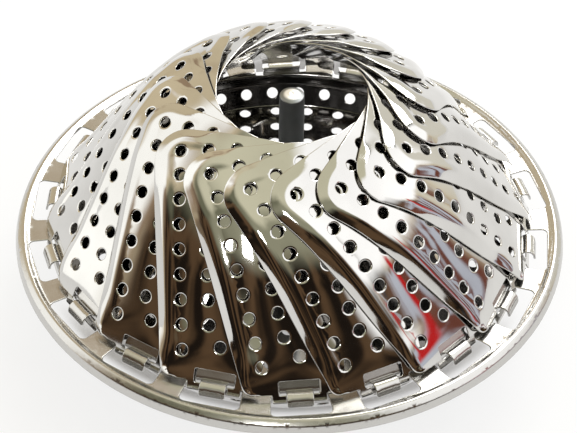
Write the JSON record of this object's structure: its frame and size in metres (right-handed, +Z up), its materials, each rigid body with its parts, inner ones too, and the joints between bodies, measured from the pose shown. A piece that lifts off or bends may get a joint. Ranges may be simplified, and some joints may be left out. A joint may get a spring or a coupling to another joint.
{
  "type": "folding steamer insert",
  "caption": "Folding steamer insert: perforated steel petals hinge on a shallow perforated dish with folding legs, closing to a dome and opening to a bowl",
  "frame": {"origin": "on the ground under the middle of the dish, legs down", "axes": "+Z up along the dish axis and the post; +X to the right and +Y away in the pictured view"},
  "size_m": [0.1638, 0.164, 0.0855],
  "materials": {
    "dish_steel": "polished stainless sheet",
    "petal_steel": "mirror-polished stainless sheet",
    "post_steel": "satin",
    "fitting_steel": "plain pressed steel"
  },
  "bodies": {
    "dish_body": {"dish": "dish_steel", "centre_post": "post_steel", "post_washer": "fitting_steel", "post_nut": "fitting_steel", "leg_bracket_1": "fitting_steel", "leg_bracket_2": "fitting_steel", "leg_bracket_3": "fitting_steel", "leg_pin_1": "fitting_steel", "leg_pin_2": "fitting_steel", "leg_pin_3": "fitting_steel"},
    "petal_01_body": {"petal_01": "petal_steel"},
    "petal_02_body": {"petal_02": "petal_steel"},
    "petal_03_body": {"petal_03": "petal_steel"},
    "petal_04_body": {"petal_04": "petal_steel"},
    "petal_05_body": {"petal_05": "petal_steel"},
    "petal_06_body": {"petal_06": "petal_steel"},
    "petal_07_body": {"petal_07": "petal_steel"},
    "petal_08_body": {"petal_08": "petal_steel"},
    "petal_09_body": {"petal_09": "petal_steel"},
    "petal_10_body": {"petal_10": "petal_steel"},
    "petal_11_body": {"petal_11": "petal_steel"},
    "petal_12_body": {"petal_12": "petal_steel"},
    "petal_13_body": {"petal_13": "petal_steel"},
    "petal_14_body": {"petal_14": "petal_steel"},
    "petal_15_body": {"petal_15": "petal_steel"},
    "petal_16_body": {"petal_16": "petal_steel"},
    "petal_17_body": {"petal_17": "petal_steel"},
    "petal_18_body": {"petal_18": "petal_steel"},
    "leg_1_body": {"leg_1": "fitting_steel"},
    "leg_2_body": {"leg_2": "fitting_steel"},
    "leg_3_body": {"leg_3": "fitting_steel"}
  },
  "joints": [
    {"name": "petal_01_hinge", "type": "hinge", "parent": "dish_body", "child": "petal_01_body", "pos_m": [0.06938, 0.01602, 0.0327], "axis": [-0.2924, 0.9563, 0], "range_deg": [0, 92]},
    {"name": "petal_02_hinge", "type": "hinge", "parent": "dish_body", "child": "petal_02_body", "pos_m": [0.05971, 0.03878, 0.0327], "axis": [-0.6018, 0.7986, 0], "range_deg": [0, 92]},
    {"name": "petal_03_hinge", "type": "hinge", "parent": "dish_body", "child": "petal_03_body", "pos_m": [0.04285, 0.05686, 0.0327], "axis": [-0.8387, 0.5446, 0], "range_deg": [0, 92]},
    {"name": "petal_04_hinge", "type": "hinge", "parent": "dish_body", "child": "petal_04_body", "pos_m": [0.02082, 0.06809, 0.0327], "axis": [-0.9744, 0.225, 0], "range_deg": [0, 92]},
    {"name": "petal_05_hinge", "type": "hinge", "parent": "dish_body", "child": "petal_05_body", "pos_m": [-0.00373, 0.0711, 0.0327], "axis": [-0.9925, -0.1219, 0], "range_deg": [0, 92]},
    {"name": "petal_06_hinge", "type": "hinge", "parent": "dish_body", "child": "petal_06_body", "pos_m": [-0.02782, 0.06554, 0.0327], "axis": [-0.891, -0.454, 0], "range_deg": [0, 92]},
    {"name": "petal_07_hinge", "type": "hinge", "parent": "dish_body", "child": "petal_07_body", "pos_m": [-0.04856, 0.05207, 0.0327], "axis": [-0.682, -0.7314, 0], "range_deg": [0, 92]},
    {"name": "petal_08_hinge", "type": "hinge", "parent": "dish_body", "child": "petal_08_body", "pos_m": [-0.06344, 0.03232, 0.0327], "axis": [-0.3907, -0.9205, 0], "range_deg": [0, 92]},
    {"name": "petal_09_hinge", "type": "hinge", "parent": "dish_body", "child": "petal_09_body", "pos_m": [-0.07067, 0.00868, 0.0327], "axis": [-0.0523, -0.9986, 0], "range_deg": [0, 92]},
    {"name": "petal_10_hinge", "type": "hinge", "parent": "dish_body", "child": "petal_10_body", "pos_m": [-0.06938, -0.01602, 0.0327], "axis": [0.2924, -0.9563, 0], "range_deg": [0, 92]},
    {"name": "petal_11_hinge", "type": "hinge", "parent": "dish_body", "child": "petal_11_body", "pos_m": [-0.05971, -0.03878, 0.0327], "axis": [0.6018, -0.7986, 0], "range_deg": [0, 92]},
    {"name": "petal_12_hinge", "type": "hinge", "parent": "dish_body", "child": "petal_12_body", "pos_m": [-0.04285, -0.05686, 0.0327], "axis": [0.8387, -0.5446, 0], "range_deg": [0, 92]},
    {"name": "petal_13_hinge", "type": "hinge", "parent": "dish_body", "child": "petal_13_body", "pos_m": [-0.02082, -0.06809, 0.0327], "axis": [0.9744, -0.225, 0], "range_deg": [0, 92]},
    {"name": "petal_14_hinge", "type": "hinge", "parent": "dish_body", "child": "petal_14_body", "pos_m": [0.00373, -0.0711, 0.0327], "axis": [0.9925, 0.1219, 0], "range_deg": [0, 92]},
    {"name": "petal_15_hinge", "type": "hinge", "parent": "dish_body", "child": "petal_15_body", "pos_m": [0.02782, -0.06554, 0.0327], "axis": [0.891, 0.454, 0], "range_deg": [0, 92]},
    {"name": "petal_16_hinge", "type": "hinge", "parent": "dish_body", "child": "petal_16_body", "pos_m": [0.04856, -0.05207, 0.0327], "axis": [0.682, 0.7314, 0], "range_deg": [0, 92]},
    {"name": "petal_17_hinge", "type": "hinge", "parent": "dish_body", "child": "petal_17_body", "pos_m": [0.06344, -0.03232, 0.0327], "axis": [0.3907, 0.9205, 0], "range_deg": [0, 92]},
    {"name": "petal_18_hinge", "type": "hinge", "parent": "dish_body", "child": "petal_18_body", "pos_m": [0.07067, -0.00868, 0.0327], "axis": [0.0523, 0.9986, 0], "range_deg": [0, 92]},
    {"name": "leg_1_fold", "type": "hinge", "parent": "dish_body", "child": "leg_1_body", "pos_m": [0, 0.044, 0.018], "axis": [-1, 0, 0], "range_deg": [0, 85]},
    {"name": "leg_2_fold", "type": "hinge", "parent": "dish_body", "child": "leg_2_body", "pos_m": [-0.0381, -0.022, 0.018], "axis": [0.5, -0.866, 0], "range_deg": [0, 85]},
    {"name": "leg_3_fold", "type": "hinge", "parent": "dish_body", "child": "leg_3_body", "pos_m": [0.0381, -0.022, 0.018], "axis": [0.5, 0.866, 0], "range_deg": [0, 85]}
  ],
  "couplings": [
    {"joint": "petal_02_hinge", "follows": "petal_01_hinge", "ratio": 1},
    {"joint": "petal_03_hinge", "follows": "petal_01_hinge", "ratio": 1},
    {"joint": "petal_04_hinge", "follows": "petal_01_hinge", "ratio": 1},
    {"joint": "petal_05_hinge", "follows": "petal_01_hinge", "ratio": 1},
    {"joint": "petal_06_hinge", "follows": "petal_01_hinge", "ratio": 1},
    {"joint": "petal_07_hinge", "follows": "petal_01_hinge", "ratio": 1},
    {"joint": "petal_08_hinge", "follows": "petal_01_hinge", "ratio": 1},
    {"joint": "petal_09_hinge", "follows": "petal_01_hinge", "ratio": 1},
    {"joint": "petal_10_hinge", "follows": "petal_01_hinge", "ratio": 1},
    {"joint": "petal_11_hinge", "follows": "petal_01_hinge", "ratio": 1},
    {"joint": "petal_12_hinge", "follows": "petal_01_hinge", "ratio": 1},
    {"joint": "petal_13_hinge", "follows": "petal_01_hinge", "ratio": 1},
    {"joint": "petal_14_hinge", "follows": "petal_01_hinge", "ratio": 1},
    {"joint": "petal_15_hinge", "follows": "petal_01_hinge", "ratio": 1},
    {"joint": "petal_16_hinge", "follows": "petal_01_hinge", "ratio": 1},
    {"joint": "petal_17_hinge", "follows": "petal_01_hinge", "ratio": 1},
    {"joint": "petal_18_hinge", "follows": "petal_01_hinge", "ratio": 1}
  ]
}
